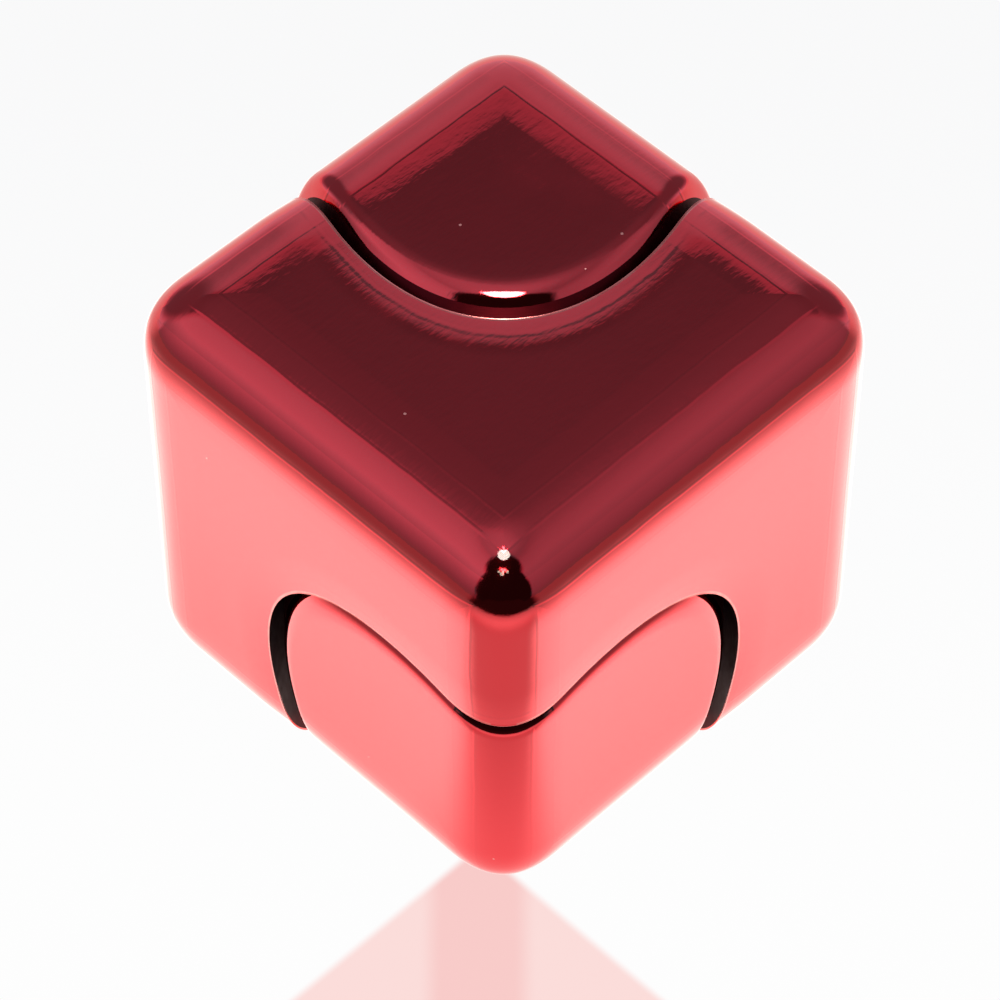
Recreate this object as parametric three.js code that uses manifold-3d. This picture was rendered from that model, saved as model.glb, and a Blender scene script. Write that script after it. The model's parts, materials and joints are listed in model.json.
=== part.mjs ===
// Corner-held spinning fidget cube, in millimetres, +Z up.
// A rounded metal cube is cut in three by a cylinder that runs along one of its space diagonals.
// The middle is the spinner body. The two corners that are left are the finger caps. They are
// screwed together through a small ball bearing, so the body spins while the caps are held.
// The origin is the middle of the bottom face of the body.
import * as THREE from 'three';
import { mergeVertices } from 'three/addons/utils/BufferGeometryUtils.js';
import { RoundedBoxGeometry } from 'three/addons/geometries/RoundedBoxGeometry.js';
import Module from 'manifold-3d';

const wasm = await Module();
wasm.setup();

// Cube and castings
const cubeEdge = 25;
const edgeRound = 3.25;
const pocketRadius = 10.95;
const capRunningGap = 0.5;
const webLip = 0.6;
const capFloorGap = 0.7;
// The bosses stand a little nearer the upper corner, so the upper cap is proud of the body
const capShift = 0.35;
const bossRadius = 4.2;
const coreWidth = 2.4;
const coreDepth = 3.6;

// Ball bearing
const bearingBore = 6.35;
const bearingOuter = 12.7;
const bearingWidth = 4.76;
const ballDiameter = 1.588;
const ballCount = 10;
const ballGap = 0.1;
const landGap = 0.52;
const cageGap = 0.2;
const cagePocketGap = 0.12;
const cageFloor = 0.4;
const cageLip = 0.3;
const shieldSeat = 0.4;
const shieldDepth = 0.62;
const shieldThickness = 0.15;
const shieldLip = 0.25;
const clipThickness = 0.2;
const clipWidth = 0.35;
const clipOpening = 0.35;
const partGap = 0.12;

// Seat of the bearing in the web
const seatGap = 0.15;
const lipWidth = 0.75;
const ringThickness = 0.8;
const ringWidth = 1.1;
const ringDepth = 0.45;
const ringOpening = 0.5;
const ringEarRadius = 0.62;
const ringEarHole = 0.28;

// Axle
const sleeveGap = 0.1;
const studRadius = 2;
const threadGap = 0.15;
const studHalf = 9.5;
const studChamfer = 0.4;
const washerReach = 0.8;
const bossStand = 0.95;

// Fineness of the solids
const roundSteps = 3;
const turnSteps = 48;
const smallTurnSteps = 36;

const capRadius = pocketRadius - capRunningGap;
const bearingHalf = bearingWidth / 2;
const bossEnd = bearingHalf + bossStand;
const coreRadius = bossRadius + coreWidth;
const pitchRadius = (bearingBore + bearingOuter) / 4;
const ballRadius = ballDiameter / 2;
const sleeveRadius = bearingBore / 2 - sleeveGap;
const studHoleRadius = studRadius + threadGap;
const seatRadius = bearingOuter / 2 + seatGap;
const grooveLow = bearingHalf + partGap;
const grooveHigh = grooveLow + ringThickness + 2 * partGap;
const webHalf = grooveHigh + webLip;
const capInnerEnd = webHalf + capFloorGap;

// The spin axis runs from the lower near corner (+X, -Y) to the upper far corner (-X, +Y)
const spinAxis = new THREE.Vector3(-1, 1, 1).normalize();
const toSpinAxis = new THREE.Quaternion().setFromUnitVectors(new THREE.Vector3(0, 0, 1), spinAxis);
const shiftAlongAxis = spinAxis.clone().multiplyScalar(capShift);

const finishes = {
  redChrome: { color: 0xb3262c, roughness: 0.08, metalness: 1 },
  bearingSteel: { color: 0xb9bcc0, roughness: 0.18, metalness: 1 },
  ballSteel: { color: 0xd6d8da, roughness: 0.05, metalness: 1 },
  shieldSteel: { color: 0x9fa3a6, roughness: 0.3, metalness: 1 },
  springSteel: { color: 0x3c4046, roughness: 0.4, metalness: 1 },
  nylon: { color: 0xd8cfb8, roughness: 0.6, metalness: 0 },
  axleSteel: { color: 0x8d9196, roughness: 0.35, metalness: 1 },
  brass: { color: 0xb58a3c, roughness: 0.3, metalness: 1 },
};

// Leaves only merged positions and drops the triangles that have no area
function weld(geometry) {
  const bare = geometry.clone();
  bare.deleteAttribute('normal');
  bare.deleteAttribute('uv');
  const merged = mergeVertices(bare, 1e-5);
  const index = merged.index.array;
  const kept = [];
  for (let i = 0; i < index.length; i += 3) {
    const [a, b, c] = [index[i], index[i + 1], index[i + 2]];
    if (a !== b && b !== c && c !== a) kept.push(a, b, c);
  }
  merged.setIndex(kept);
  return merged;
}

function toSolid(geometry) {
  const welded = weld(geometry);
  const vertProperties = new Float32Array(welded.attributes.position.array);
  const triVerts = new Uint32Array(welded.index.array);
  return new wasm.Manifold(new wasm.Mesh({ numProp: 3, vertProperties, triVerts }));
}

function toGeometry(solid) {
  const mesh = solid.getMesh();
  const geometry = new THREE.BufferGeometry();
  geometry.setAttribute('position', new THREE.BufferAttribute(new Float32Array(mesh.vertProperties), 3));
  geometry.setIndex(new THREE.BufferAttribute(new Uint32Array(mesh.triVerts), 1));
  return geometry;
}

// Turns a closed outline of [radius, height] points about Z. The outline runs anticlockwise.
function turned(outline, steps = turnSteps) {
  const points = outline.map(([radius, height]) => new THREE.Vector2(radius, height));
  points.push(points[0].clone());
  const geometry = new THREE.LatheGeometry(points, steps);
  geometry.rotateX(Math.PI / 2);
  return weld(geometry);
}

function alongSpinAxis(geometry) {
  return geometry.clone().applyQuaternion(toSpinAxis);
}

function roundedCube() {
  return new RoundedBoxGeometry(cubeEdge, cubeEdge, cubeEdge, roundSteps, edgeRound);
}

// Middle of the cube: two round pockets with a web between them that holds the bearing
function spinnerBody() {
  const lipRadius = bearingOuter / 2 - lipWidth;
  const grooveRadius = seatRadius + ringDepth;
  const seatLow = -bearingHalf - partGap;
  const hollow = turned([
    [0, -cubeEdge],
    [pocketRadius, -cubeEdge],
    [pocketRadius, -webHalf],
    [lipRadius, -webHalf],
    [lipRadius, seatLow],
    [seatRadius, seatLow],
    [seatRadius, grooveLow],
    [grooveRadius, grooveLow],
    [grooveRadius, grooveHigh],
    [seatRadius, grooveHigh],
    [seatRadius, webHalf],
    [pocketRadius, webHalf],
    [pocketRadius, cubeEdge],
    [0, cubeEdge],
  ]);
  return toGeometry(toSolid(roundedCube()).subtract(toSolid(alongSpinAxis(hollow))));
}

// Corner of the cube with a skirt that runs in the pocket, a boss on the bearing and a cored ring
function cornerCap(side) {
  const studHoleEnd = studHalf + 2 * partGap;
  const outline = [
    [studHoleRadius, bossEnd],
    [bossRadius, bossEnd],
    [bossRadius, capInnerEnd + coreDepth],
    [coreRadius, capInnerEnd + coreDepth],
    [coreRadius, capInnerEnd],
    [capRadius, capInnerEnd],
    [capRadius, cubeEdge],
    [0, cubeEdge],
    [0, studHoleEnd],
    [studHoleRadius, studHoleEnd],
  ];
  const core = turned(outline);
  if (side < 0) core.rotateX(Math.PI);
  const cap = toSolid(roundedCube()).intersect(toSolid(alongSpinAxis(core)));
  return toGeometry(cap).translate(...shiftAlongAxis);
}

// Points of the ball groove between two heights, from low to high for side +1
function grooveArc(side, landRadius, steps) {
  const grooveRadius = ballRadius + ballGap;
  const reach = Math.asin((landRadius - pitchRadius) * side / grooveRadius);
  const points = [];
  for (let i = 0; i <= steps; i += 1) {
    const angle = THREE.MathUtils.lerp(reach, Math.PI - reach, i / steps);
    const radius = pitchRadius + side * grooveRadius * Math.sin(angle);
    points.push([radius, grooveRadius * Math.cos(angle)]);
  }
  return points;
}

function outerRace() {
  const outer = bearingOuter / 2;
  const land = pitchRadius + landGap;
  const recess = outer - shieldSeat;
  const shoulder = bearingHalf - shieldDepth;
  return turned([
    [outer, -bearingHalf],
    [outer, bearingHalf],
    [recess, bearingHalf],
    [recess, shoulder],
    [land, shoulder],
    ...grooveArc(1, land, 6),
    [land, -shoulder],
    [recess, -shoulder],
    [recess, -bearingHalf],
  ], turnSteps);
}

function innerRace() {
  const bore = bearingBore / 2;
  const land = pitchRadius - landGap;
  const neck = shieldInnerRadius() - shieldLip;
  const shoulder = bearingHalf - shieldDepth;
  return turned([
    [bore, bearingHalf],
    [bore, -bearingHalf],
    [neck, -bearingHalf],
    [neck, -shoulder],
    [land, -shoulder],
    ...grooveArc(-1, land, 6).reverse(),
    [land, shoulder],
    [neck, shoulder],
    [neck, bearingHalf],
  ], smallTurnSteps);
}

function shieldInnerRadius() {
  return pitchRadius - landGap + partGap;
}

function shield(side) {
  const outer = bearingOuter / 2 - shieldSeat - partGap;
  const low = bearingHalf - shieldDepth + partGap;
  const inner = shieldInnerRadius();
  const disc = turned([
    [inner, low],
    [outer, low],
    [outer, low + shieldThickness],
    [inner, low + shieldThickness],
  ], smallTurnSteps);
  return side < 0 ? disc.rotateX(Math.PI) : disc;
}

// Flat open ring between two radii, with its gap centred on +X
function openRing(outer, inner, halfOpening, thickness, steps) {
  const shape = new THREE.Shape();
  shape.absarc(0, 0, outer, halfOpening, 2 * Math.PI - halfOpening, false);
  shape.absarc(0, 0, inner, 2 * Math.PI - halfOpening, halfOpening, true);
  shape.closePath();
  return new THREE.ExtrudeGeometry(shape, { depth: thickness, bevelEnabled: false, curveSegments: steps });
}

function shieldClip(side) {
  const outer = bearingOuter / 2 - shieldSeat - partGap;
  const low = bearingHalf - shieldDepth + shieldThickness + 2 * partGap;
  const clip = openRing(outer, outer - clipWidth, clipOpening / 2, clipThickness, smallTurnSteps);
  clip.translate(0, 0, low);
  return weld(side < 0 ? clip.rotateX(Math.PI) : clip);
}

// Crown cage: a ring with one pocket for each ball, open on its upper side
function ballCage() {
  const inner = pitchRadius - landGap + cageGap;
  const outer = pitchRadius + landGap - cageGap;
  const pocketOfBall = ballRadius + cagePocketGap;
  const low = -pocketOfBall - cageFloor;
  const high = ballRadius - cageLip;
  let cage = toSolid(turned([
    [inner, low],
    [outer, low],
    [outer, high],
    [inner, high],
  ], smallTurnSteps));
  for (const angle of ballAngles()) {
    const pocket = new THREE.CylinderGeometry(pocketOfBall, pocketOfBall, 4 * landGap, 16);
    pocket.rotateZ(Math.PI / 2);
    pocket.translate(pitchRadius, 0, 0);
    pocket.rotateZ(angle);
    cage = cage.subtract(toSolid(pocket));
  }
  return toGeometry(cage);
}

function ballAngles() {
  return Array.from({ length: ballCount }, (_, i) => 2 * Math.PI * i / ballCount);
}

// Internal snap ring with two eyes for pliers, in the groove above the bearing
function retainingRing() {
  const outer = seatRadius + ringDepth - partGap;
  const inner = outer - ringWidth;
  const ring = openRing(outer, inner, ringOpening, ringThickness, turnSteps);
  let solid = toSolid(ring);
  const eyeMiddle = inner + partGap;
  for (const side of [-1, 1]) {
    const eye = new THREE.CylinderGeometry(ringEarRadius, ringEarRadius, ringThickness, 20);
    const hole = new THREE.CylinderGeometry(ringEarHole, ringEarHole, 3 * ringThickness, 12);
    for (const piece of [eye, hole]) {
      piece.rotateX(Math.PI / 2);
      piece.translate(eyeMiddle, 0, ringThickness / 2);
      piece.rotateZ(side * ringOpening);
    }
    solid = solid.add(toSolid(eye)).subtract(toSolid(hole));
  }
  return toGeometry(solid).translate(0, 0, grooveLow + partGap);
}

function axleSleeve() {
  const half = bossEnd - partGap;
  return turned([
    [studHoleRadius, -half],
    [sleeveRadius, -half],
    [sleeveRadius, half],
    [studHoleRadius, half],
  ], smallTurnSteps).translate(0, 0, capShift);
}

function axleStud() {
  return turned([
    [0, -studHalf],
    [studRadius - studChamfer, -studHalf],
    [studRadius, -studHalf + studChamfer],
    [studRadius, studHalf - studChamfer],
    [studRadius - studChamfer, studHalf],
    [0, studHalf],
  ], smallTurnSteps).translate(0, 0, capShift);
}

// Fills the height between the bearing's inner race and a cap's boss
function spacerWasher(side) {
  const low = bearingHalf + partGap;
  const high = bossEnd + side * capShift - partGap;
  const inner = sleeveRadius + sleeveGap;
  const washer = turned([
    [inner, low],
    [inner + washerReach, low],
    [inner + washerReach, high],
    [inner, high],
  ], smallTurnSteps);
  return side < 0 ? washer.rotateX(Math.PI) : washer;
}

function named(name, geometry, finish) {
  const mesh = new THREE.Mesh(geometry, new THREE.MeshStandardMaterial(finishes[finish]));
  mesh.name = name;
  return mesh;
}

const cube = new THREE.Group();
cube.position.z = cubeEdge / 2;
cube.add(named('spinner_body', spinnerBody(), 'redChrome'));
cube.add(named('upper_corner_cap', cornerCap(1), 'redChrome'));
cube.add(named('lower_corner_cap', cornerCap(-1), 'redChrome'));

// Everything on the spin axis, with the middle of the bearing at the middle of the cube
const hub = new THREE.Group();
hub.quaternion.copy(toSpinAxis);
hub.add(named('bearing_outer_race', outerRace(), 'bearingSteel'));
hub.add(named('bearing_inner_race', innerRace(), 'bearingSteel'));
hub.add(named('bearing_shield_upper', shield(1), 'shieldSteel'));
hub.add(named('bearing_shield_lower', shield(-1), 'shieldSteel'));
hub.add(named('shield_clip_upper', shieldClip(1), 'springSteel'));
hub.add(named('shield_clip_lower', shieldClip(-1), 'springSteel'));
hub.add(named('bearing_retaining_ring', retainingRing(), 'springSteel'));
hub.add(named('axle_sleeve', axleSleeve(), 'axleSteel'));
hub.add(named('axle_stud', axleStud(), 'axleSteel'));
hub.add(named('spacer_washer_upper', spacerWasher(1), 'brass'));
hub.add(named('spacer_washer_lower', spacerWasher(-1), 'brass'));
hub.add(named('ball_cage', ballCage(), 'nylon'));
ballAngles().forEach((angle, i) => {
  const ball = named(`bearing_ball_${i + 1}`, new THREE.SphereGeometry(ballRadius, 10, 6), 'ballSteel');
  ball.position.set(pitchRadius * Math.cos(angle), pitchRadius * Math.sin(angle), 0);
  hub.add(ball);
});
cube.add(hub);

export default cube;
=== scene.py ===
import json
import math

import bpy
import numpy as np
from mathutils import Matrix, Vector


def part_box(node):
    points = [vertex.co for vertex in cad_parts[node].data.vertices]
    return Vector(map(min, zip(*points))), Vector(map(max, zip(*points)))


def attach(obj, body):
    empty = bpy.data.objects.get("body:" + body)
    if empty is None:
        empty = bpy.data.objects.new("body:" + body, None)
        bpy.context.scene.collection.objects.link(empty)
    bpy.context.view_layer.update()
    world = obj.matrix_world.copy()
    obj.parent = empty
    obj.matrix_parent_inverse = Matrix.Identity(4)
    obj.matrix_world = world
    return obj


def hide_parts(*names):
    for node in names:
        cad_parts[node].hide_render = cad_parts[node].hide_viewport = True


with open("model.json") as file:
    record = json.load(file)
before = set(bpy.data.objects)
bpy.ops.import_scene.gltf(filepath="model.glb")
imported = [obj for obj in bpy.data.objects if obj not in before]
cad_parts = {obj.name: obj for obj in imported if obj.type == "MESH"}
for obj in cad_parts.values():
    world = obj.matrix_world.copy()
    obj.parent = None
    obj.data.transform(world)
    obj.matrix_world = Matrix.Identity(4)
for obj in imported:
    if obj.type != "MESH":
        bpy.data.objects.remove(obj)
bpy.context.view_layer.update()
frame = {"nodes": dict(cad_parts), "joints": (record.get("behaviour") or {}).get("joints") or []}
mm = 0.001
mergeDistance = 0.001 * mm

# where the spin axis lies, taken from the frame
spinJoint = next(j for j in frame["joints"] if j["name"] == "spin")
cubeMiddle = np.array(spinJoint["pos_m"])
spinAxis = np.array(spinJoint["axis"]) / np.linalg.norm(spinJoint["axis"])
sideways = np.array((1, 1, 0)) / math.sqrt(2)
forwards = np.cross(spinAxis, sideways)
bodyLow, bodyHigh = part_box("spinner_body")
cubeEdge = (bodyHigh - bodyLow).x

# level directions, as seen from the camera's side
towardCamera = (0.70711, -0.70711, 0)
toRight = (0.70711, 0.70711, 0)
awayFromCamera = (-0.70711, 0.70711, 0)


def deselectAll():
    bpy.ops.object.select_all(action="DESELECT")


def finishPiece(piece, name, body, slot, node, *looks):
    piece.name = name
    piece.data.name = name
    for look in looks:
        piece.data.materials.append(look)
    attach(piece, body)
    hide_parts(node)


def ownCopy(pattern):
    piece = pattern.copy()
    piece.data = pattern.data.copy()
    bpy.context.scene.collection.objects.link(piece)
    return piece


# a copy turned half round, so that what faced up the spin axis faces down it
def turnedOver(pattern, shift=0.0):
    piece = ownCopy(pattern)
    middle = Vector(cubeMiddle)
    back = Matrix.Translation(shift * Vector(spinAxis))
    turn = Matrix.Translation(middle) @ Matrix.Rotation(math.pi, 4, Vector(sideways))
    piece.data.transform(back @ turn @ Matrix.Translation(-middle))
    return piece


# joins points that meet, and turns every face out
def mendMesh(merge=True):
    bpy.ops.object.mode_set(mode="EDIT")
    bpy.ops.mesh.select_all(action="SELECT")
    if merge:
        bpy.ops.mesh.remove_doubles(threshold=mergeDistance)
    bpy.ops.mesh.normals_make_consistent(inside=False)
    bpy.ops.object.mode_set(mode="OBJECT")


def setPoints(piece, points):
    piece.data.vertices.foreach_set("co", np.ascontiguousarray(points, np.float32).ravel())
    piece.data.update()


def smoothAll(piece):
    piece.data.polygons.foreach_set("use_smooth", np.ones(len(piece.data.polygons), bool))
    piece.data.update()


cubeShape = {
    "edgeRound": 4.05 * mm,   # how far the rounding reaches in from an edge
    "roundPower": 2.6,        # 2 is a plain quarter circle, more is softer where it meets the flats
    "rollPower": 1.7,         # how sharply a skin sinks at its cut edge
}


# above zero outside the rounded cube and below zero inside it
def outside(points):
    inner = cubeEdge / 2 - cubeShape["edgeRound"]
    over = np.clip(np.abs(points) - inner, 0, None)
    power = cubeShape["roundPower"]
    return (over ** power).sum(-1) ** (1 / power) - cubeShape["edgeRound"]


def aroundAxis(steps):
    turn = np.arange(steps) * 2 * math.pi / steps
    return np.outer(np.cos(turn), sideways) + np.outer(np.sin(turn), forwards)


# how far along each direction the skin of the cube lies, found by halving
def skinDistance(start, direction, near, far):
    low = np.full(start.shape[:-1], near)
    high = np.full(start.shape[:-1], far)
    for _ in range(46):
        middle = (low + high) / 2
        out = outside(start + direction * middle[..., None]) > 0
        high = np.where(out, middle, high)
        low = np.where(out, low, middle)
    return (low + high) / 2


# points at the given lengths along each column of a curve of [row, column, (radius, height)]
def along(curve, lengths):
    step = np.linalg.norm(np.diff(curve, axis=0), axis=-1)
    reached = np.vstack([np.zeros(curve.shape[1]), np.cumsum(step, axis=0)])
    found = np.empty((lengths.shape[0], curve.shape[1], 2))
    for column in range(curve.shape[1]):
        for k in (0, 1):
            found[:, column, k] = np.interp(lengths[:, column], reached[:, column], curve[:, column, k])
    return found


def softCorner(start, corner, end, share):
    return (1 - share) ** 2 * start + 2 * share * (1 - share) * corner + share ** 2 * end


# a soft corner between two rows of a skin, without its first and last row
def bend(first, corner, last, rows):
    return softCorner(first, corner, last, np.linspace(0, 1, rows + 2)[1:-1, None, None])


# a turned outline with every corner but its ends rounded
def softProfile(points, radius, rows=3):
    points = [np.array(p, float) for p in points]
    made = [points[0]]
    for before, corner, after in zip(points, points[1:], points[2:]):
        toBefore = before - corner
        toAfter = after - corner
        reach = min(radius, np.linalg.norm(toBefore) * 0.45, np.linalg.norm(toAfter) * 0.45)
        start = corner + toBefore / np.linalg.norm(toBefore) * reach
        end = corner + toAfter / np.linalg.norm(toAfter) * reach
        made.extend(softCorner(start, corner, end, share) for share in np.linspace(0, 1, rows + 1))
    made.append(points[-1])
    return np.array(made)


# a closed section with every corner rounded
def softLoop(points, radius, rows=2):
    closed = [points[-1], *points, points[0]]
    made = []
    for before, corner, after in zip(closed, closed[1:], closed[2:]):
        before, corner, after = (np.array(p, float) for p in (before, corner, after))
        toBefore = before - corner
        toAfter = after - corner
        start = corner + toBefore * min(radius / np.linalg.norm(toBefore), 0.4)
        end = corner + toAfter * min(radius / np.linalg.norm(toAfter), 0.4)
        made.extend(softCorner(start, corner, end, share) for share in np.linspace(0, 1, rows + 1))
    return made


# lets a skin sink a little towards its cut edge, as polishing does
def rollOff(curve, fromEnd, width, drop):
    tangent = np.gradient(curve, axis=0)
    tangent /= np.linalg.norm(tangent, axis=-1, keepdims=True)
    normal = np.stack([tangent[..., 1], -tangent[..., 0]], -1)
    amount = drop * np.clip(1 - fromEnd / width, 0, 1) ** cubeShape["rollPower"]
    return curve - normal * amount[..., None]


# from [row, column, (radius, height)] to points in space about the spin axis
def roundTheAxis(columns):
    ring = aroundAxis(columns.shape[1])
    return cubeMiddle + columns[..., 0, None] * ring[None] + columns[..., 1, None] * spinAxis


bodyShape = {
    "steps": 480,             # columns round the spin axis
    "skinRows": 112,
    "bendRows": 6,
    "wallRows": 8,
    "bunching": 0.06,         # share by which rows crowd towards both cut edges
    "pocketRadius": 10.95 * mm,
    "webHalf": 4.14 * mm,
    "seatRadius": 6.5 * mm,
    "grooveRadius": 6.95 * mm,
    "grooveLow": 2.5 * mm,
    "grooveHigh": 3.54 * mm,
    "lipRadius": 5.6 * mm,
    "seatLow": -2.5 * mm,
    "edgeSoftness": 0.12 * mm,
    "rollWidth": 2.4 * mm,
    "rollDrop": 0.12 * mm,
}


def makeBody():
    s = bodyShape
    steps = s["steps"]
    ring = aroundAxis(steps)
    radius = s["pocketRadius"]
    soft = s["edgeSoftness"]
    web = s["webHalf"]

    # the outer skin, from the lower pocket's edge to the upper pocket's edge
    upper = skinDistance(ring * radius, np.broadcast_to(spinAxis, ring.shape), 0, cubeEdge)
    lower = skinDistance(ring * radius, np.broadcast_to(-spinAxis, ring.shape), 0, cubeEdge)
    fromLow = np.arctan2(-lower, radius)
    fromHigh = np.arctan2(upper, radius)
    tilt = fromLow + (fromHigh - fromLow) * np.linspace(0, 1, 320)[:, None]
    ray = np.cos(tilt)[..., None] * ring[None] + np.sin(tilt)[..., None] * spinAxis
    reach = skinDistance(np.zeros_like(ray), ray, cubeEdge * 0.3, cubeEdge)
    skin = np.stack([np.cos(tilt) * reach, np.sin(tilt) * reach], -1)
    whole = np.linalg.norm(np.diff(skin, axis=0), axis=-1).sum(0)
    spread = np.linspace(0, 1, s["skinRows"])[:, None]
    spread = spread - s["bunching"] * np.sin(2 * math.pi * spread)
    lengths = soft + (whole - 2 * soft) * spread
    outer = rollOff(along(skin, lengths), np.minimum(lengths, whole - lengths), s["rollWidth"], s["rollDrop"])

    # the cut edges sink nearly as far as the skin beside them
    cut = s["rollDrop"] * 0.9
    topCorner = np.stack([np.full(steps, radius), upper - cut], -1)
    lowCorner = np.stack([np.full(steps, radius), -lower + cut], -1)
    topWall = topCorner - np.array([0, soft])
    lowWall = lowCorner + np.array([0, soft])

    # the web between the pockets, with the bearing's seat and the snap ring's groove
    inside = softProfile([
        (radius, web + 0.5 * mm),
        (radius, web),
        (s["seatRadius"], web),
        (s["seatRadius"], s["grooveHigh"]),
        (s["grooveRadius"], s["grooveHigh"]),
        (s["grooveRadius"], s["grooveLow"]),
        (s["seatRadius"], s["grooveLow"]),
        (s["seatRadius"], s["seatLow"]),
        (s["lipRadius"], s["seatLow"]),
        (s["lipRadius"], -web),
        (radius, -web),
        (radius, -web - 0.5 * mm),
    ], soft)
    turned = np.broadcast_to(inside[:, None, :], (len(inside), steps, 2))
    wallShare = np.linspace(0, 1, s["wallRows"] + 1)[:, None, None]
    columns = np.concatenate([
        outer,
        bend(outer[-1], topCorner, topWall, s["bendRows"]),
        topWall + (turned[0] - topWall) * wallShare[:-1],
        turned,
        turned[-1] + (lowWall - turned[-1]) * wallShare[1:],
        bend(lowWall, lowCorner, outer[0], s["bendRows"]),
    ])

    # the grid is closed both ways, so its first row and column come back as its last
    closed = roundTheAxis(np.concatenate([columns, columns[:1]]))
    closed = np.concatenate([closed, closed[:, :1]], axis=1)
    deselectAll()
    bpy.ops.mesh.primitive_grid_add(x_subdivisions=steps, y_subdivisions=len(columns))
    piece = bpy.context.object
    setPoints(piece, closed)
    mendMesh()
    smoothAll(piece)
    print("body faces", len(piece.data.polygons))
    return piece


capShape = {
    "steps": 420,
    "skinRows": 84,
    "bendRows": 12,
    "wallRows": 8,
    "capRadius": 10.25 * mm,
    "innerEnd": 4.84 * mm,
    "coreRadius": 6.6 * mm,
    "coreTop": 8.44 * mm,
    "bossRadius": 4.2 * mm,
    "bossEnd": 3.33 * mm,
    "holeRadius": 2.15 * mm,
    "holeEnd": 9.74 * mm,
    "drillPoint": 0.6 * mm,
    "innerSoftness": 0.15 * mm,
    "edgeSoftness": 0.62 * mm,
    # below the glossy part, the wall is dull red darkened with painted shade
    "glossDepth": 0.3 * mm,   # the rim is bright this far down its wall
    "rollWidth": 1.6 * mm,
    "rollDrop": 0.015 * mm,
    "shift": 0.35 * mm,       # both caps stand this far towards the upper corner
}


def makeUpperCap():
    s = capShape
    steps = s["steps"]
    ring = aroundAxis(steps)
    radius = s["capRadius"]
    soft = s["edgeSoftness"]

    # the outer skin, from the corner on the axis to the rim
    radii = np.linspace(0, radius, 400)[:, None] * np.ones(steps)
    start = radii[..., None] * ring[None]
    height = skinDistance(start, np.broadcast_to(spinAxis, start.shape), 0, cubeEdge)
    skin = np.stack([radii, height], -1)
    whole = np.linalg.norm(np.diff(skin, axis=0), axis=-1).sum(0)
    lengths = (whole - soft) * np.linspace(0, 1, s["skinRows"])[:, None]
    outer = along(skin, lengths)
    outer = rollOff(outer[::-1], (whole - lengths)[::-1], s["rollWidth"], s["rollDrop"])[::-1]

    # the wall, the hollow core, the boss and its blind hole
    corner = np.stack([np.full(steps, radius), height[-1] - s["rollDrop"]], -1)
    wallTop = corner - np.array([0, soft])
    glossEnd = wallTop - np.array([0, s["glossDepth"]])
    inside = softProfile([
        (radius, s["innerEnd"] + 0.4 * mm),
        (radius, s["innerEnd"]),
        (s["coreRadius"], s["innerEnd"]),
        (s["coreRadius"], s["coreTop"]),
        (s["bossRadius"], s["coreTop"]),
        (s["bossRadius"], s["bossEnd"]),
        (s["holeRadius"], s["bossEnd"]),
        (s["holeRadius"], s["holeEnd"]),
        (0, s["holeEnd"] + s["drillPoint"]),
    ], s["innerSoftness"])
    turned = np.broadcast_to(inside[:, None, :], (len(inside), steps, 2))
    wallShare = np.linspace(0, 1, s["wallRows"] + 1)[:-1, None, None]
    columns = np.concatenate([
        outer,
        bend(outer[-1], corner, wallTop, s["bendRows"]),
        wallTop[None],
        glossEnd + (turned[0] - glossEnd) * wallShare,
        turned,
    ])
    columns[..., 1] += s["shift"]
    rings = len(columns) - 1

    # a ball whose rows and columns are moved onto those of the cap
    deselectAll()
    bpy.ops.mesh.primitive_uv_sphere_add(segments=steps, ring_count=rings, radius=1)
    piece = bpy.context.object
    onBall = np.empty(len(piece.data.vertices) * 3, np.float32)
    piece.data.vertices.foreach_get("co", onBall)
    onBall = onBall.reshape(-1, 3).astype(float)
    row = np.rint(np.arccos(np.clip(onBall[:, 2], -1, 1)) / math.pi * rings).astype(int)
    column = np.rint(np.arctan2(onBall[:, 1], onBall[:, 0]) / (2 * math.pi) * steps).astype(int) % steps
    setPoints(piece, roundTheAxis(columns)[row, column])

    # every face past the glossy part of the rim is dull red, darkened with painted shade
    ends = np.empty(len(piece.data.loops), np.int32)
    piece.data.loops.foreach_get("vertex_index", ends)
    starts = np.empty(len(piece.data.polygons), np.int32)
    piece.data.polygons.foreach_get("loop_start", starts)
    firstRow = np.minimum.reduceat(row[ends], starts)
    dullAndShaded = firstRow > s["skinRows"] + s["bendRows"]
    piece.data.polygons.foreach_set("material_index", dullAndShaded.astype(np.int32))
    mendMesh(merge=False)
    smoothAll(piece)
    print("cap faces", len(piece.data.polygons))
    return piece


# a socket takes a number, a colour or what another node gives
def feed(tree, socket, value):
    if isinstance(value, bpy.types.NodeSocket):
        tree.links.new(value, socket)
    elif isinstance(value, tuple):
        socket.default_value = (*value, 1)
    else:
        socket.default_value = value


def calculate(tree, operation, first, second=0.0):
    node = tree.nodes.new("ShaderNodeMath")
    node.operation = operation
    feed(tree, node.inputs[0], first)
    feed(tree, node.inputs[1], second)
    return node.outputs[0]


def calculateVector(tree, operation, source, fixed=(0, 0, 0)):
    node = tree.nodes.new("ShaderNodeVectorMath")
    node.operation = operation
    node.inputs[1].default_value = fixed
    tree.links.new(source, node.inputs[0])
    return node.outputs["Value" if operation in ("DOT_PRODUCT", "LENGTH") else "Vector"]


def between(tree, source, low, high, atLow=0.0, atHigh=1.0, curve="SMOOTHSTEP"):
    node = tree.nodes.new("ShaderNodeMapRange")
    node.interpolation_type = curve
    for name, value in (("From Min", low), ("From Max", high), ("To Min", atLow), ("To Max", atHigh)):
        node.inputs[name].default_value = value
    tree.links.new(source, node.inputs["Value"])
    return node.outputs["Result"]


def mixColour(tree, factor, first, second, blend="MIX"):
    node = tree.nodes.new("ShaderNodeMix")
    node.data_type = "RGBA"
    node.blend_type = blend
    feed(tree, node.inputs["Factor"], factor)
    feed(tree, node.inputs[6], first)
    feed(tree, node.inputs[7], second)
    return node.outputs[2]


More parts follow.
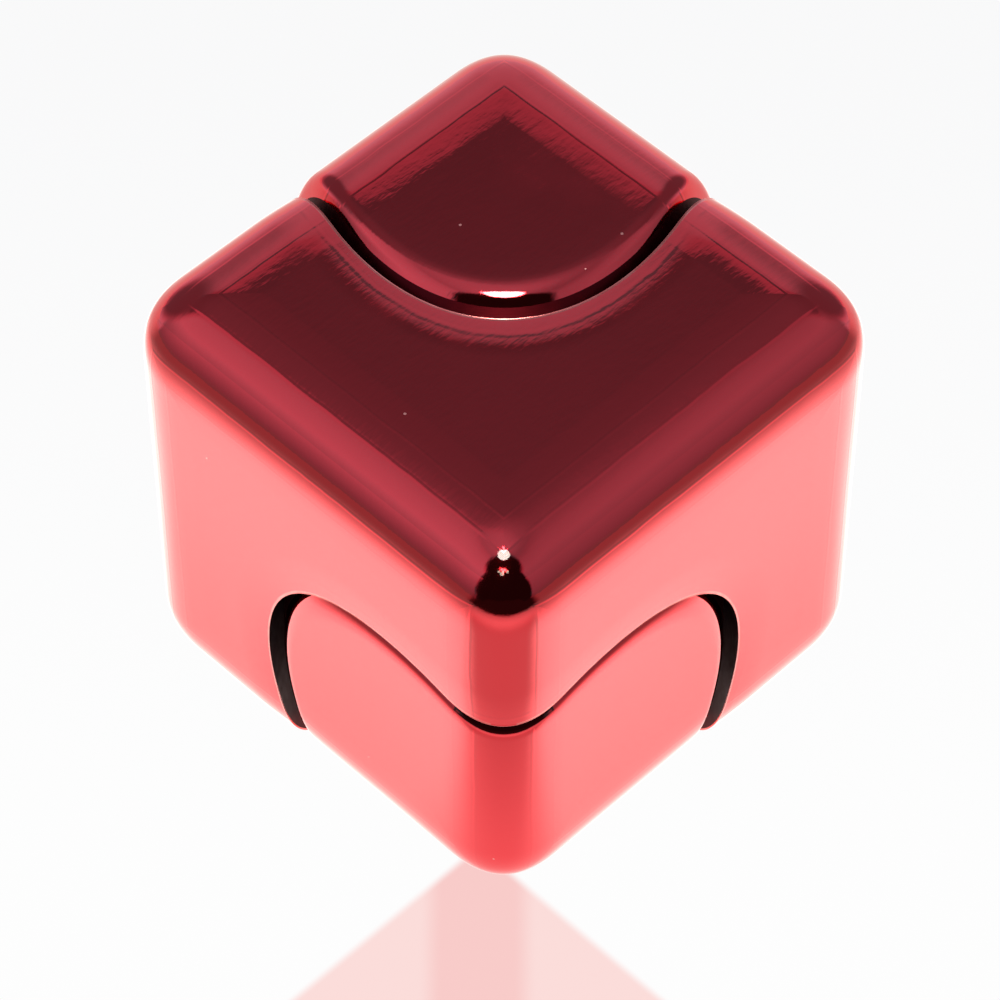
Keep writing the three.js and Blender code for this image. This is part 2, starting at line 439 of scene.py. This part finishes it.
def noise(tree, where, scale, detail=2, stretch=None):
    if stretch:
        mapping = tree.nodes.new("ShaderNodeMapping")
        mapping.inputs["Scale"].default_value = stretch
        tree.links.new(where, mapping.inputs["Vector"])
        where = mapping.outputs["Vector"]
    node = tree.nodes.new("ShaderNodeTexNoise")
    node.inputs["Scale"].default_value = scale
    node.inputs["Detail"].default_value = detail
    tree.links.new(where, node.inputs["Vector"])
    return node.outputs["Fac"]


def newMaterial(name):
    material = bpy.data.materials.new(name)
    material.use_nodes = True
    tree = material.node_tree
    where = tree.nodes.new("ShaderNodeTexCoord").outputs["Object"]
    return material, tree, tree.nodes["Principled BSDF"], where


redPlate = {
    "colour": (0.86, 0.035, 0.05),
    "edgeTint": (1.0, 0.62, 0.62),
    "roughness": 0.035,
    "smearScale": 210,        # a little dulling where fingers have been
    "smearRoughness": 0.09,
    "coat": 1.0,
    "coatIor": 1.45,
    "coatRoughness": 0.015,
    "waveScale": 160,         # broad hollows left by polishing
    "waveHeight": 0.014,      # all heights and distances are in millimetres
    "peelScale": 1100,
    "peelHeight": 0.004,
    "hatchScale": 2600,
    "hatchStretch": (1.6, 0.45, 1),
    "hatchHeight": 0.0042,
    "creaseHeight": 0.0085,   # faint ridges where the polished rounding meets a flat
    "creaseWidth": 0.13,
    "creaseFromEdge": (2.3, 3.5),
    "creaseRoughness": 0.13,
    "rubScale": 260,          # the creases are rubbed dull in patches
    "creaseFromSeam": 0.55,
    "seamCreaseWidth": 0.17,
    "wanderScale": 300,       # the creases don't run quite straight
    "pillowHeight": 0.24,     # the flats fall away very slightly towards their edges
    "pillowReach": 5.0,
    "pillowPower": 1.35,
    "speckScale": 520,        # a few specks of dust
    "speckSize": 0.035,
    "speckShare": 0.4,
    "speckColour": (0.95, 0.5, 0.46),
}


def makeRedPlate():
    s = redPlate
    material, tree, shader, where = newMaterial("redPlate")
    shader.inputs["Metallic"].default_value = 1
    shader.inputs["Specular Tint"].default_value = (*s["edgeTint"], 1)
    shader.inputs["Coat Weight"].default_value = s["coat"]
    shader.inputs["Coat Roughness"].default_value = s["coatRoughness"]
    shader.inputs["Coat IOR"].default_value = s["coatIor"]

    def math2(operation, first, second=0.0):
        return calculate(tree, operation, first, second)

    # how far a point is from the nearest edge of its face: the middle one of its three distances
    fromMiddle = calculateVector(tree, "SUBTRACT", where, cubeMiddle)
    split = tree.nodes.new("ShaderNodeSeparateXYZ")
    tree.links.new(calculateVector(tree, "ABSOLUTE", fromMiddle), split.inputs[0])
    x, y, z = split.outputs
    most = math2("MAXIMUM", math2("MAXIMUM", x, y), z)
    least = math2("MINIMUM", math2("MINIMUM", x, y), z)
    whole = math2("ADD", math2("ADD", x, y), z)
    second = math2("SUBTRACT", math2("SUBTRACT", whole, most), least)
    toEdge = math2("MULTIPLY", math2("SUBTRACT", cubeEdge / 2, second), 1 / mm)

    # and how far it is from the seam
    fromAxis = calculateVector(tree, "LENGTH", calculateVector(tree, "CROSS_PRODUCT", fromMiddle, spinAxis))
    toSeam = math2("MULTIPLY", math2("SUBTRACT", fromAxis, bodyShape["pocketRadius"]), 1 / mm)

    wander = math2("SUBTRACT", noise(tree, where, s["wanderScale"], 3), 0.5)
    fromEdge = math2("ADD", toEdge, math2("MULTIPLY", wander, 0.2))
    fromSeam = math2("ADD", toSeam, math2("MULTIPLY", wander, 0.4))

    def crease(distance, at, width):
        return between(tree, math2("ABSOLUTE", math2("SUBTRACT", distance, at)), 0, width, 1, 0)

    firstCrease, secondCrease = (crease(fromEdge, at, s["creaseWidth"]) for at in s["creaseFromEdge"])
    height = math2("MULTIPLY", noise(tree, where, s["waveScale"], 1), s["waveHeight"])
    for extra, amount in (
        (noise(tree, where, s["peelScale"]), s["peelHeight"]),
        (noise(tree, where, s["hatchScale"], 2, s["hatchStretch"]), s["hatchHeight"]),
        (firstCrease, s["creaseHeight"]),
        (secondCrease, s["creaseHeight"] * 0.7),
        (crease(fromSeam, s["creaseFromSeam"], s["seamCreaseWidth"]), s["creaseHeight"] * 0.4),
    ):
        height = math2("ADD", height, math2("MULTIPLY", extra, amount))
    nearEdge = math2("MAXIMUM", math2("SUBTRACT", 1.0, math2("DIVIDE", toEdge, s["pillowReach"])), 0.0)
    pillow = math2("MULTIPLY", math2("POWER", nearEdge, s["pillowPower"]), -s["pillowHeight"])
    bump = tree.nodes.new("ShaderNodeBump")
    bump.inputs["Strength"].default_value = 1
    bump.inputs["Distance"].default_value = mm
    tree.links.new(math2("ADD", height, pillow), bump.inputs["Height"])
    tree.links.new(bump.outputs["Normal"], shader.inputs["Normal"])

    cells = tree.nodes.new("ShaderNodeTexVoronoi")
    cells.inputs["Scale"].default_value = s["speckScale"]
    tree.links.new(where, cells.inputs["Vector"])
    chosen = tree.nodes.new("ShaderNodeSeparateColor")
    tree.links.new(cells.outputs["Color"], chosen.inputs[0])
    speck = math2("MULTIPLY", math2("LESS_THAN", cells.outputs["Distance"], s["speckSize"]),
                  math2("GREATER_THAN", chosen.outputs[0], 1 - s["speckShare"]))
    tint = mixColour(tree, math2("MULTIPLY", speck, 0.7), s["colour"], s["speckColour"])
    tree.links.new(tint, shader.inputs["Base Color"])

    smear = between(tree, noise(tree, where, s["smearScale"], 4), 0.45, 0.75,
                    s["roughness"], s["roughness"] + s["smearRoughness"], "LINEAR")
    rubbed = math2("ADD", math2("MULTIPLY", firstCrease, 0.7), secondCrease)
    rubbed = math2("MULTIPLY", rubbed, between(tree, noise(tree, where, s["rubScale"], 3), 0.4, 0.65))
    rough = math2("ADD", smear, math2("MULTIPLY", rubbed, s["creaseRoughness"]))
    tree.links.new(math2("ADD", rough, math2("MULTIPLY", speck, 0.4)), shader.inputs["Roughness"])
    return material


# a bare metal whose gloss varies a little from grain to grain
def makeMetal(name, colour, roughness, grainScale=1500):
    material, tree, shader, where = newMaterial(name)
    shader.inputs["Base Color"].default_value = (*colour, 1)
    shader.inputs["Metallic"].default_value = 1
    grain = noise(tree, where, grainScale)
    varied = between(tree, grain, 0, 1, roughness * 0.7, roughness * 1.3, "LINEAR")
    tree.links.new(varied, shader.inputs["Roughness"])
    return material


# one colour clouded with another
def makeMottled(name, colour, cloud, cloudScale, metallic, roughness):
    material, tree, shader, where = newMaterial(name)
    tint = mixColour(tree, noise(tree, where, cloudScale), colour, cloud)
    tree.links.new(tint, shader.inputs["Base Color"])
    shader.inputs["Metallic"].default_value = metallic
    shader.inputs["Roughness"].default_value = roughness
    return material


seamDullShadeAndHighlight = {
    # painted shade: the pocket walls are darkened as well as dull from here down
    "dullShadeDepth": 0.9 * mm,    # the pocket walls are dull from here down
    "wallReach": 0.02 * mm,   # how near the pocket's radius a face counts as wall
    # the painted highlight along the seam's sharp edge reaches this far across and down
    "highlightReach": 0.09 * mm,   # the sharp edge is pale this far across and down
    "highlightDepth": 0.24 * mm,
}


# 0 is the bright plating, 1 the dull wall darkened with painted shade and 2 the painted highlight along each
# seam's edge
def markBodyFaces(piece):
    s = seamDullShadeAndHighlight
    centres = np.empty(len(piece.data.polygons) * 3, np.float32)
    piece.data.polygons.foreach_get("center", centres)
    centres = centres.reshape(-1, 3) - cubeMiddle
    skin = outside(centres)
    fromAxis = np.linalg.norm(centres - np.outer(centres @ spinAxis, spinAxis), axis=-1)
    radius = bodyShape["pocketRadius"]
    finishAndPaintedLight = (skin < -s["dullShadeDepth"]).astype(np.int32)
    finishAndPaintedLight[fromAxis < radius + s["wallReach"]] = 1
    # painted highlight along the seam's sharp edge
    finishAndPaintedLight[(fromAxis < radius + s["highlightReach"]) & (skin > -s["highlightDepth"])] = 2
    piece.data.polygons.foreach_set("material_index", finishAndPaintedLight)
    piece.data.update()


# the bearing's own axes, in millimetres from its middle, turned onto the spin axis
hubToWorld = (Matrix.Translation(Vector(cubeMiddle))
              @ Vector((0, 0, 1)).rotation_difference(Vector(spinAxis)).to_matrix().to_4x4())


# spins a closed section of (radius, height) points round the axle
def turnedPiece(section, steps=96):
    deselectAll()
    bpy.ops.mesh.primitive_circle_add(vertices=len(section), radius=1)
    piece = bpy.context.object
    for vertex, (radius, height) in zip(piece.data.vertices, section):
        vertex.co = (radius * mm, 0, height * mm)
    bpy.ops.object.mode_set(mode="EDIT")
    bpy.ops.mesh.select_all(action="SELECT")
    bpy.ops.mesh.spin(steps=steps, angle=2 * math.pi, center=(0, 0, 0), axis=(0, 0, 1))
    bpy.ops.object.mode_set(mode="OBJECT")
    mendMesh()
    piece.data.transform(hubToWorld)
    bpy.ops.object.shade_smooth_by_angle(angle=0.6)
    return piece


def makeTube(inside, outside, low, high, chamfer, steps=96):
    section = [(inside, low), (outside, low), (outside, high), (inside, high)]
    return turnedPiece(softLoop(section, chamfer), steps)


bearingShape = {
    "bore": 3.175,
    "outside": 6.35,
    "half": 2.38,
    "shoulder": 1.76,         # height of the step that the shields sit on
    "innerSeat": 4.1125,
    "innerLand": 4.2425,
    "outerLand": 5.2825,
    "outerSeat": 5.95,
    "chamfer": 0.12,
    "pitchRadius": 4.7625,
    "grooveRadius": 0.894,
    "grooveReach": 0.949,     # radians of groove each side of its middle
    "ballRadius": 0.794,
    "ballCount": 10,
}


def raceGroove(side):
    s = bearingShape
    return [(s["pitchRadius"] + side * s["grooveRadius"] * math.cos(a), s["grooveRadius"] * math.sin(a))
            for a in np.linspace(-s["grooveReach"], s["grooveReach"], 17)]


def makeRace(side, land, seat, face):
    s = bearingShape
    step = s["shoulder"]
    half = s["half"]
    section = [(land, -step), *raceGroove(side), (land, step), (seat, step), (seat, half),
               (face, half), (face, -half), (seat, -half), (seat, -step)]
    return turnedPiece(softLoop(section, s["chamfer"]))


def makeRaces(look):
    s = bearingShape
    outer = makeRace(1, s["outerLand"], s["outerSeat"], s["outside"])
    finishPiece(outer, "bearingOuterRace", "spinner", "bearing_steel", "bearing_outer_race", look)
    inner = makeRace(-1, s["innerLand"], s["innerSeat"], s["bore"])
    finishPiece(inner, "bearingInnerRace", "grip", "bearing_steel", "bearing_inner_race", look)


# one ball, copied to each place round the bearing
def ballsRound(radius):
    s = bearingShape
    deselectAll()
    bpy.ops.mesh.primitive_uv_sphere_add(segments=40, ring_count=20, radius=radius * mm)
    pattern = bpy.context.object
    bpy.ops.object.shade_smooth()
    balls = []
    for k in range(s["ballCount"]):
        turn = 2 * math.pi * k / s["ballCount"]
        away = Vector((math.cos(turn), math.sin(turn), 0)) * s["pitchRadius"] * mm
        ball = ownCopy(pattern)
        ball.data.transform(hubToWorld @ Matrix.Translation(away))
        balls.append(ball)
    bpy.data.objects.remove(pattern)
    return balls


def makeBalls(look):
    for k, ball in enumerate(ballsRound(bearingShape["ballRadius"]), 1):
        finishPiece(ball, f"bearingBall{k}", "balls", "ball_steel", f"bearing_ball_{k}", look)


cageShape = {
    "inside": 4.4425,
    "outside": 5.0825,
    "low": -1.314,
    "high": 0.494,
    "softness": 0.06,
    "steps": 120,
    "pocketRadius": 0.914,
}


def makeCage(look):
    s = cageShape
    cage = makeTube(s["inside"], s["outside"], s["low"], s["high"], s["softness"], s["steps"])
    for cutter in ballsRound(s["pocketRadius"]):
        deselectAll()
        cage.select_set(True)
        bpy.context.view_layer.objects.active = cage
        cut = cage.modifiers.new("pocket", "BOOLEAN")
        cut.object = cutter
        cut.operation = "DIFFERENCE"
        cut.solver = "EXACT"
        bpy.ops.object.modifier_apply(modifier=cut.name)
        bpy.data.objects.remove(cutter)
    bpy.ops.object.shade_smooth_by_angle(angle=0.6)
    finishPiece(cage, "ballCage", "balls", "cage_nylon", "ball_cage", look)


shieldShape = {
    "inside": 4.3625,
    "outside": 5.83,
    "back": 1.88,
    "face": 2.03,
    "dish": 1.985,            # the face is pressed in to here between two short slopes
    "dishFrom": (4.6, 4.68),
    "dishTo": (5.28, 5.36),
    "softness": 0.03,
}


def makeShields(look):
    s = shieldShape
    section = [(s["inside"], s["back"]), (s["outside"], s["back"]), (s["outside"], s["face"]),
               (s["dishTo"][1], s["face"]), (s["dishTo"][0], s["dish"]),
               (s["dishFrom"][1], s["dish"]), (s["dishFrom"][0], s["face"]), (s["inside"], s["face"])]
    upper = turnedPiece(softLoop(section, s["softness"]))
    lower = turnedOver(upper)
    finishPiece(upper, "bearingShieldUpper", "spinner", "shield_steel", "bearing_shield_upper", look)
    finishPiece(lower, "bearingShieldLower", "spinner", "shield_steel", "bearing_shield_lower", look)


axleShape = {
    "sleeveInside": 2.15,
    "sleeveOutside": 3.075,
    "washerInside": 3.175,
    "washerOutside": 3.975,
    "raceFace": 2.5,          # the washers start this far from the bearing's middle
    "low": -2.86,
    "high": 3.56,
    "sleeveChamfer": 0.1,
    "washerChamfer": 0.07,
}


def makeAxleRings(sleeveLook, washerLook):
    s = axleShape
    sleeve = makeTube(s["sleeveInside"], s["sleeveOutside"], s["low"], s["high"], s["sleeveChamfer"])
    finishPiece(sleeve, "axleSleeve", "grip", "axle_steel", "axle_sleeve", sleeveLook)
    for name, low, high in (("upper", s["raceFace"], s["high"]), ("lower", s["low"], -s["raceFace"])):
        washer = makeTube(s["washerInside"], s["washerOutside"], low, high, s["washerChamfer"])
        finishPiece(washer, f"spacerWasher{name.capitalize()}", "grip", "washer_brass",
                    f"spacer_washer_{name}", washerLook)


studShape = {
    "radius": 2.0,
    "low": -9.15,
    "high": 9.85,
    "chamfer": 0.4,
    "pitch": 0.7,
    "threadDepth": 0.28,
    "steps": 48,
    "rows": 330,
}


# a grid rolled into a rod, with its rows drawn in along a helix to cut the thread
def makeStud(look):
    s = studShape
    steps = s["steps"]
    heights = np.linspace(s["low"], s["high"], s["rows"])
    height, turn = np.meshgrid(heights, np.arange(steps + 1) / steps, indexing="ij")
    phase = (height / s["pitch"] - turn % 1) % 1
    depth = s["threadDepth"] * np.clip(np.abs(phase - 0.5) * 2.4 - 0.2, 0, 1)
    fromEnd = np.minimum(height - s["low"], s["high"] - height)
    radius = np.minimum(s["radius"] - depth, s["radius"] - s["chamfer"] + fromEnd)
    centre = np.zeros((1, steps + 1))
    radius = np.concatenate([centre, radius, centre])
    height = np.concatenate([height[:1], height, height[-1:]])
    turn = np.concatenate([turn[:1], turn, turn[-1:]]) % 1 * 2 * math.pi
    points = np.stack([radius * np.cos(turn), radius * np.sin(turn), height], -1) * mm
    deselectAll()
    bpy.ops.mesh.primitive_grid_add(x_subdivisions=steps, y_subdivisions=len(points) - 1)
    stud = bpy.context.object
    setPoints(stud, points)
    mendMesh()
    stud.data.transform(hubToWorld)
    bpy.ops.object.shade_smooth_by_angle(angle=0.6)
    finishPiece(stud, "axleStud", "grip", "axle_steel", "axle_stud", look)


camera = {
    "azimuth": 45.05,
    "elevation": 50.92,
    "distance": 213.2 * mm,
    "lens": 163.87,
    "shift": (-0.00396, -0.0302),
}


def makeCamera():
    s = camera
    a = math.radians(s["azimuth"])
    e = math.radians(s["elevation"])
    back = Vector((math.sin(a) * math.cos(e), -math.cos(a) * math.cos(e), math.sin(e)))
    bpy.ops.object.camera_add()
    made = bpy.context.object
    made.data.lens = s["lens"]
    made.data.sensor_width = 36
    made.data.shift_x, made.data.shift_y = s["shift"]
    made.data.clip_start = 0.01
    made.data.clip_end = 20
    made.location = Vector(cubeMiddle) + back * s["distance"]
    made.rotation_mode = "QUATERNION"
    made.rotation_quaternion = (-back).to_track_quat("-Z", "Y")
    bpy.context.scene.camera = made


floorLight = {
    # the floor glows, brighter beside the cube: a painted pool of light
    "nearLevel": 1.9,         # what the sides of the cube mirror just beside it
    "farLevel": 0.32,
    "farBehind": 0.85,
    "nearReach": 32.5 * mm,
    "fallOff": 1.6,           # power by which the light falls past that
    # painted shade on the floor at the foot of the cube
    "footDimming": 0.74,      # share of the light left right at the foot of the cube
    "footReach": (12 * mm, 23 * mm),
    "lightTint": (1.0, 1.0, 0.93),
    # the wedge in front of the near corner is painted shade, tinted by red light reflected off the cube
    "wedgeStart": 12.7 * mm,  # the tinted patch in front of the near corner starts this far out
    "wedgeOffset": -1.2 * mm,
    "wedgeEnd": 42 * mm,
    "wedgeEdge": (-0.3 * mm, 0.5 * mm),
    "wedgeShadeColour": (0.967, 0.72, 0.70),
    "stripeShadeColour": (0.94, 0.60, 0.585),
    "stripeEdge": (1.6 * mm, 2.8 * mm),
    "mirroredEdge": (-7 * mm, 4 * mm),   # the patch is softer where the cube mirrors it
    "darkFrom": 62 * mm,      # past here, in front, the bench is unlit
    "darkColour": (0.02, 0.015, 0.015),
    "paleBehind": (0.945, 0.945, 0.95),
    "paleInFront": (0.985, 0.985, 0.985),
}


def makeFloor():
    s = floorLight
    deselectAll()
    bpy.ops.mesh.primitive_plane_add(size=1.6, location=(0, 0, 0))
    floor = bpy.context.object
    floor.name = "floor"
    material, tree, shader, where = newMaterial("floorSurface")
    tree.nodes.remove(shader)

    def math2(operation, first, second=0.0):
        return calculate(tree, operation, first, second)

    def component(direction):
        return calculateVector(tree, "DOT_PRODUCT", where, direction)

    fromMiddle = calculateVector(tree, "LENGTH", where)
    fromX = math2("ABSOLUTE", component((1, 0, 0)))
    fromY = math2("ABSOLUTE", component((0, 1, 0)))
    beside = math2("MAXIMUM", fromX, fromY)
    forward = component(towardCamera)
    across = math2("ABSOLUTE", math2("SUBTRACT", component(toRight), s["wedgeOffset"]))
    inWedge = math2("SUBTRACT", math2("SUBTRACT", forward, s["wedgeStart"]), across)
    fade = between(tree, forward, s["wedgeEnd"] * 0.8, s["wedgeEnd"] * 1.2, 1, 0)

    # what the metal mirrors: a painted pool of light, bright beside the cube and dim farther off, but less so
    # behind it
    share = math2("MINIMUM", math2("DIVIDE", s["nearReach"], fromMiddle), 1.0)
    level = math2("MULTIPLY", math2("POWER", share, s["fallOff"]), s["nearLevel"])
    # painted shade near the foot of the cube
    level = math2("MULTIPLY", level, between(tree, beside, *s["footReach"], s["footDimming"], 1))
    behind = between(tree, math2("DIVIDE", math2("MULTIPLY", forward, -1.0), fromMiddle), 0.15, 0.5)
    far = math2("ADD", math2("MULTIPLY", behind, s["farBehind"] - s["farLevel"]), s["farLevel"])
    level = math2("MAXIMUM", level, far)
    light = tree.nodes.new("ShaderNodeCombineColor")
    for socket, amount in zip(light.inputs, s["lightTint"]):
        tree.links.new(math2("MULTIPLY", level, amount), socket)
    # the wedge of painted shade and red reflected light, as the metal mirrors it
    wedgeLit = tree.nodes.new("ShaderNodeVectorMath")
    wedgeLit.operation = "SCALE"
    wedgeLit.inputs[0].default_value = s["wedgeShadeColour"]
    tree.links.new(between(tree, forward, 16 * mm, 28 * mm, 1.12, 0.76), wedgeLit.inputs["Scale"])
    softWedge = math2("MULTIPLY", between(tree, inWedge, *s["mirroredEdge"]), fade)
    mirrored = mixColour(tree, softWedge, light.outputs[0], wedgeLit.outputs[0])
    dark = math2("MULTIPLY", between(tree, forward, s["darkFrom"] * 0.9, s["darkFrom"] * 1.1),
                 between(tree, math2("DIVIDE", across, forward), 1.1, 0.8))
    mirrored = mixColour(tree, dark, mirrored, s["darkColour"])

    # what the camera sees: a pale floor with the wedge of painted shade and red reflected light, and its
    # darker middle stripe
    pale = mixColour(tree, between(tree, forward, -50 * mm, 20 * mm), s["paleBehind"], s["paleInFront"])
    tint = mixColour(tree, between(tree, across, *s["stripeEdge"]), s["stripeShadeColour"], s["wedgeShadeColour"])
    wedge = math2("MULTIPLY", between(tree, inWedge, *s["wedgeEdge"]), fade)
    seen = mixColour(tree, wedge, pale, tint)

    rays = tree.nodes.new("ShaderNodeLightPath")
    glow = tree.nodes.new("ShaderNodeEmission")
    tree.links.new(mixColour(tree, rays.outputs["Is Camera Ray"], mirrored, seen), glow.inputs["Color"])
    tree.links.new(glow.outputs[0], tree.nodes["Material Output"].inputs["Surface"])
    floor.data.materials.append(material)


studioLight = {
    # brightness against height: 0 is level with the horizon and 1 straight up
    "left": [(0, 0.22), (0.12, 0.28), (0.33, 0.4), (0.58, 0.6), (0.8, 0.52), (0.87, 0.46), (0.91, 0.36),
             (1, 0.45)],
    "right": [(0, 0.2), (0.12, 0.25), (0.4, 0.31), (0.62, 0.37), (0.8, 0.33), (0.9, 0.24), (0.95, 0.3),
              (1, 0.45)],
    "behind": [(0, 0.66), (0.34, 0.5), (0.6, 0.45), (0.68, 0.37), (0.7, 0.3), (0.716, 0.095), (0.79, 0.14),
               (0.87, 0.17), (0.95, 0.3), (1, 0.45)],
    "tint": (1.0, 1.3, 1.5),
    "dimSpots": ((-0.9, 0, 0.43), (0, 0.9, 0.43)),
    "dimColour": (0.15, 0.18, 0.21),
    "flags": ((47, 30), (12, 43)),   # dark discs on the near side: height of the middle and reach, in degrees
    "flagColour": (0.012, 0.01, 0.01),
    "lamp": (78, 7),                 # height and reach, in degrees
    "lampColour": (26, 23.4, 20.8),
    "glints": ((48, -4, 3), (51, -12, 1.6), (51, 9, 1.6), (51, -2, 1.6)),   # height, turn and reach
    "glintColour": (14, 11.2, 8.68),
    "backdrop": (0.95, 0.95, 0.955),
}


def makeWorld():
    s = studioLight
    world = bpy.data.worlds.new("studio")
    bpy.context.scene.world = world
    world.use_nodes = True
    tree = world.node_tree
    tree.nodes.clear()
    out = tree.nodes.new("ShaderNodeOutputWorld")
    toward = tree.nodes.new("ShaderNodeTexCoord").outputs["Generated"]
    split = tree.nodes.new("ShaderNodeSeparateXYZ")
    tree.links.new(toward, split.inputs["Vector"])
    up = split.outputs["Z"]

    def lookAlong(direction):
        return calculateVector(tree, "DOT_PRODUCT", toward, direction)

    def inFront(elevation, azimuth=0):
        e = math.radians(elevation)
        a = math.radians(45 + azimuth)
        return lookAlong((math.sin(a) * math.cos(e), -math.cos(a) * math.cos(e), math.sin(e)))

    def ramp(stops):
        node = tree.nodes.new("ShaderNodeValToRGB")
        elements = node.color_ramp.elements
        while len(elements) < len(stops):
            elements.new(0.5)
        for element, (at, value) in zip(elements, stops):
            element.position = at
            element.color = (value, value, value, 1)
        tree.links.new(up, node.inputs["Fac"])
        return node.outputs["Color"]

    def disc(light, source, reach, before, after, colour):
        edge = math.cos(math.radians(reach))
        return mixColour(tree, between(tree, source, edge - before, edge + after), light, colour)

    light = mixColour(tree, between(tree, lookAlong(toRight), -0.1, 0.1), ramp(s["left"]), ramp(s["right"]))
    light = mixColour(tree, between(tree, lookAlong(awayFromCamera), 0.22, 0.33), light, ramp(s["behind"]))
    light = mixColour(tree, 1.0, light, s["tint"], "MULTIPLY")
    for aim in s["dimSpots"]:
        light = mixColour(tree, between(tree, lookAlong(aim), 0.84, 0.95), light, s["dimColour"])
    for aim, reach in s["flags"]:
        light = disc(light, inFront(aim), reach, 0.02, 0.02, s["flagColour"])
    aim, reach = s["lamp"]
    light = disc(light, inFront(aim), reach, 0.004, 0.001, s["lampColour"])
    for aim, turn, reach in s["glints"]:
        light = disc(light, inFront(aim, turn), reach, 0.0006, 0.0001, s["glintColour"])

    # the metal mirrors the lights, and the camera sees a plain backdrop
    seen = tree.nodes.new("ShaderNodeBackground")
    seen.inputs["Color"].default_value = (*s["backdrop"], 1)
    mirrored = tree.nodes.new("ShaderNodeBackground")
    tree.links.new(light, mirrored.inputs["Color"])
    rays = tree.nodes.new("ShaderNodeLightPath")
    mixed = tree.nodes.new("ShaderNodeMixShader")
    tree.links.new(rays.outputs["Is Camera Ray"], mixed.inputs["Fac"])
    tree.links.new(mirrored.outputs["Background"], mixed.inputs[1])
    tree.links.new(seen.outputs["Background"], mixed.inputs[2])
    tree.links.new(mixed.outputs["Shader"], out.inputs["Surface"])


bpy.context.scene.view_settings.view_transform = "Standard"
makeCamera()
makeFloor()
makeWorld()
print("studio ready")

castingLooks = [
    makeRedPlate(),
    # a dull red, darkened to paint the shade inside the gaps between body and caps
    makeMetal("dullRedPaintedShade", (0.07, 0.004, 0.007), 0.4, 2500),
    # a paler, mottled pink that paints the highlight along each seam's edge
    makeMottled("seamEdgePaintedHighlight", (0.96, 0.34, 0.32), (0.86, 0.1, 0.1), 1200, 0.9, 0.22),
]
body = makeBody()
finishPiece(body, "spinnerBody", "spinner", "red_chrome", "spinner_body", *castingLooks)
markBodyFaces(body)
upperCap = makeUpperCap()
lowerCap = turnedOver(upperCap, 2 * capShape["shift"])
finishPiece(upperCap, "upperCornerCap", "grip", "red_chrome", "upper_corner_cap", *castingLooks)
finishPiece(lowerCap, "lowerCornerCap", "grip", "red_chrome", "lower_corner_cap", *castingLooks)
print("castings ready")

springSteel = makeMetal("springSteel", (0.22, 0.22, 0.24), 0.35)
axleSteel = makeMetal("axleSteel", (0.58, 0.57, 0.55), 0.25)
makeRaces(makeMetal("bearingSteel", (0.60, 0.61, 0.63), 0.16))
makeBalls(makeMetal("ballSteel", (0.72, 0.72, 0.73), 0.05))
makeCage(makeMottled("cageNylon", (0.62, 0.56, 0.44), (0.72, 0.67, 0.56), 900, 0, 0.45))
makeShields(makeMetal("shieldSteel", (0.55, 0.56, 0.58), 0.28))
makeAxleRings(axleSteel, makeMetal("washerBrass", (0.72, 0.52, 0.22), 0.22))
makeStud(axleSteel)
for name in ("shield_clip_upper", "shield_clip_lower", "bearing_retaining_ring"):
    clip = frame["nodes"][name]
    clip.data.materials.clear()
    clip.data.materials.append(springSteel)
print("bearing and axle ready")
